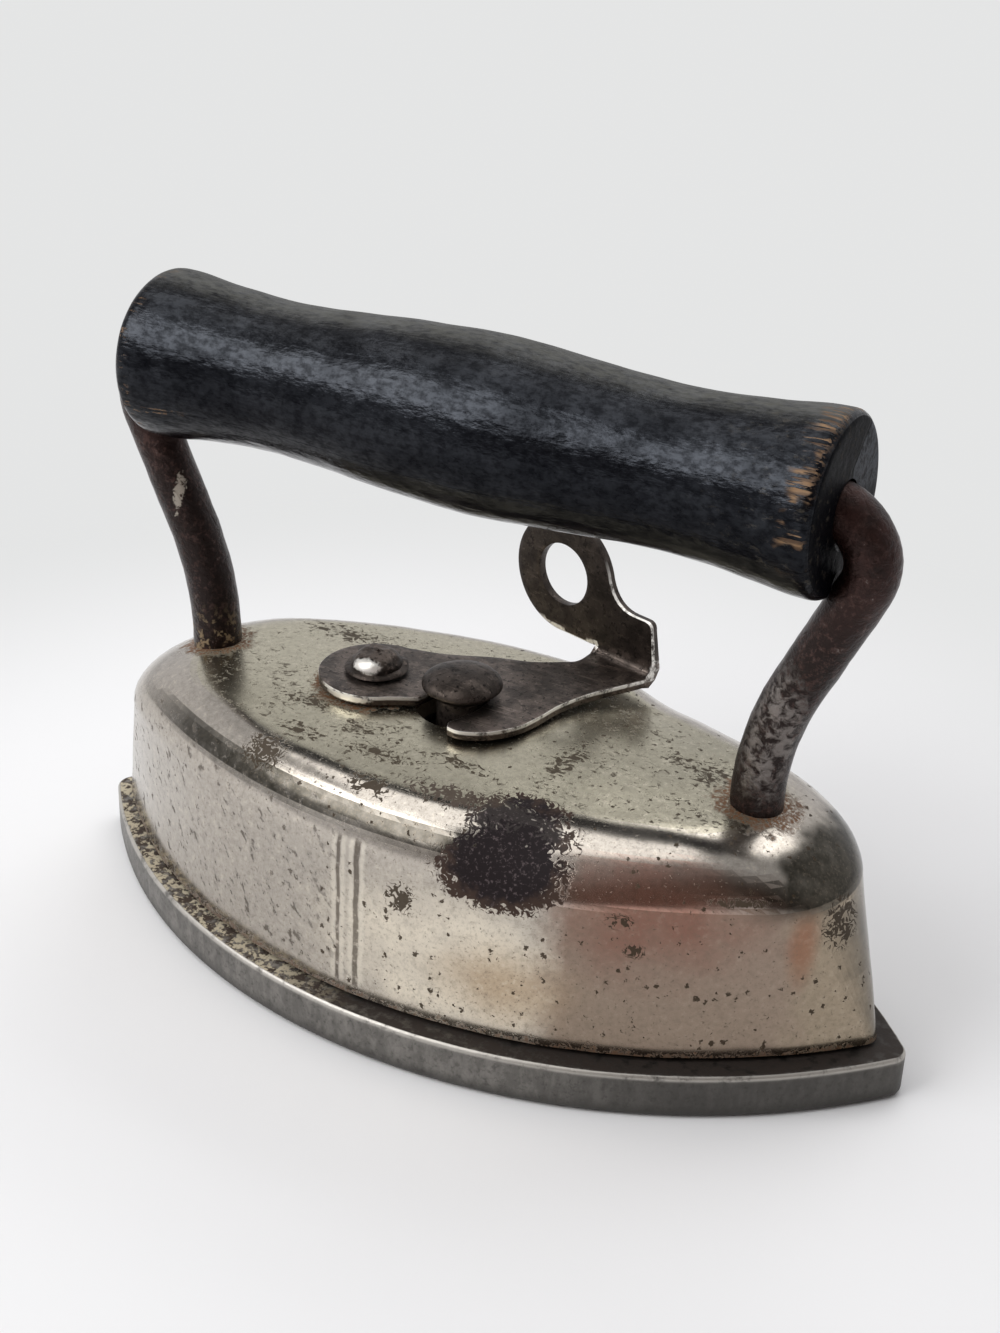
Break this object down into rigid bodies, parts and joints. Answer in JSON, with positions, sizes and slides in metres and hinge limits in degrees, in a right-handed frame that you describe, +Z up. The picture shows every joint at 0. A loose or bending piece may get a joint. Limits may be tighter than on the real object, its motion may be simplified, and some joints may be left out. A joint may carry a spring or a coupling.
{
  "type": "sad iron",
  "caption": "Small double-pointed sad iron: a cast-iron core under a lift-off lined steel hood with a bent-rod handle, turned wooden grip and swinging latch.",
  "frame": {"origin": "on the table, under the middle of the sole", "axes": "+X along the sole to the tip on the picture's right, +Y to the side that the latch's finger tab is on, +Z up"},
  "size_m": [0.1006, 0.0484, 0.0707],
  "materials": {
    "cast_iron": "dark grey ground and worn iron with a bright edge",
    "worn_nickel": "nickel plate worn thin, pitted and rust spotted",
    "rusted_steel": "dark red-brown rusted steel rod",
    "dark_steel": "dark oxidised steel with bright worn edges",
    "plain_steel": "plain steel, out of sight",
    "lining_board": "pale heat-resisting board",
    "black_wood": "glossy black paint over turned wood, worn at one end"
  },
  "bodies": {
    "core": {"core": "cast_iron", "latch_stud": "dark_steel"},
    "hood": {"hood_shell": "worn_nickel", "lining_pad": "lining_board", "lining_strip_far": "lining_board", "lining_strip_near": "lining_board", "retaining_plate": "plain_steel", "handle_rod": "rusted_steel", "front_rod_washer": "plain_steel", "rear_rod_washer": "plain_steel", "pivot_rivet": "dark_steel", "pivot_washer": "plain_steel", "grip_upper_half": "black_wood", "grip_lower_half": "black_wood"},
    "latch": {"latch_lever": "dark_steel"}
  },
  "joints": [
    {"name": "hood_lift", "type": "slide", "parent": "core", "child": "hood", "axis": [0, 0, 1], "range_m": [0, 0.045]},
    {"name": "latch_swing", "type": "hinge", "parent": "hood", "child": "latch", "pos_m": [-0.0132, 0, 0.03025], "axis": [0, 0, 1], "range_deg": [0, 60]}
  ]
}
